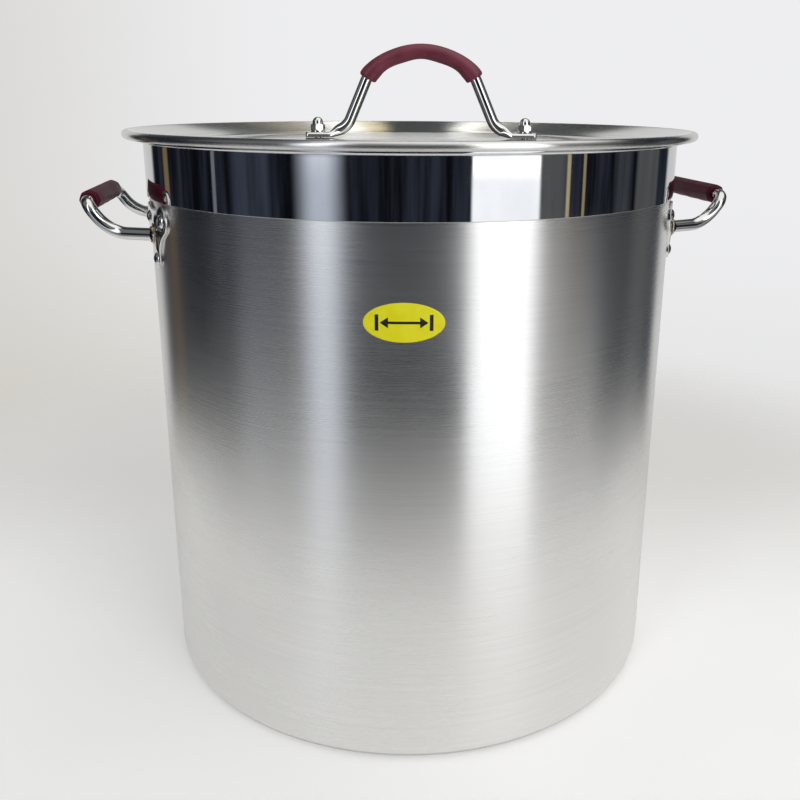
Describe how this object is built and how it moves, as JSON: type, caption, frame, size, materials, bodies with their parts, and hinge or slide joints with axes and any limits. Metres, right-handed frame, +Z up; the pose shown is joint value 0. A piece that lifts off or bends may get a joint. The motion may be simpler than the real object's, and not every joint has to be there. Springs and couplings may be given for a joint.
{
  "type": "brew kettle",
  "caption": "Tall straight-sided stainless steel kettle with a polished rim band, sleeved rod handles at its sides and a loose dished lid with an arched handle.",
  "frame": {"origin": "centre of the base, on the plane that the kettle stands on", "axes": "+Z up along the kettle's axis, +X out through the right side handle, -Y towards the label"},
  "size_m": [0.4898, 0.4312, 0.4837],
  "materials": {
    "satin_steel": "satin stainless steel with a fine grain running round the wall, and a mirror-polished band below the rim",
    "spun_steel": "spun and lightly polished stainless sheet, with turning marks about the middle",
    "polished_steel": "polished stainless steel",
    "silicone": "burgundy silicone sleeve, satin with moulding texture",
    "label_film": "yellow self-adhesive film without print"
  },
  "bodies": {
    "pot": {"pot_shell": "satin_steel", "side_handle_rod_right": "polished_steel", "side_handle_grip_right": "silicone", "handle_bracket_right_front": "polished_steel", "handle_bracket_right_back": "polished_steel", "side_handle_rod_left": "polished_steel", "side_handle_grip_left": "silicone", "handle_bracket_left_front": "polished_steel", "handle_bracket_left_back": "polished_steel", "rivet_right_front_1": "polished_steel", "rivet_right_front_2": "polished_steel", "rivet_right_front_3": "polished_steel", "rivet_right_back_1": "polished_steel", "rivet_right_back_2": "polished_steel", "rivet_right_back_3": "polished_steel", "rivet_left_front_1": "polished_steel", "rivet_left_front_2": "polished_steel", "rivet_left_front_3": "polished_steel", "rivet_left_back_1": "polished_steel", "rivet_left_back_2": "polished_steel", "rivet_left_back_3": "polished_steel", "size_label": "label_film"},
    "lid": {"lid_pan": "spun_steel", "lid_handle_rod": "polished_steel", "lid_handle_grip": "silicone", "lid_cap_nut_left": "polished_steel", "lid_cap_nut_right": "polished_steel", "lid_screw_left": "polished_steel", "lid_screw_right": "polished_steel"}
  },
  "joints": [
    {"name": "lid_lift", "type": "slide", "parent": "pot", "child": "lid", "axis": [0, 0, 1], "range_m": [0, 0.25]}
  ]
}
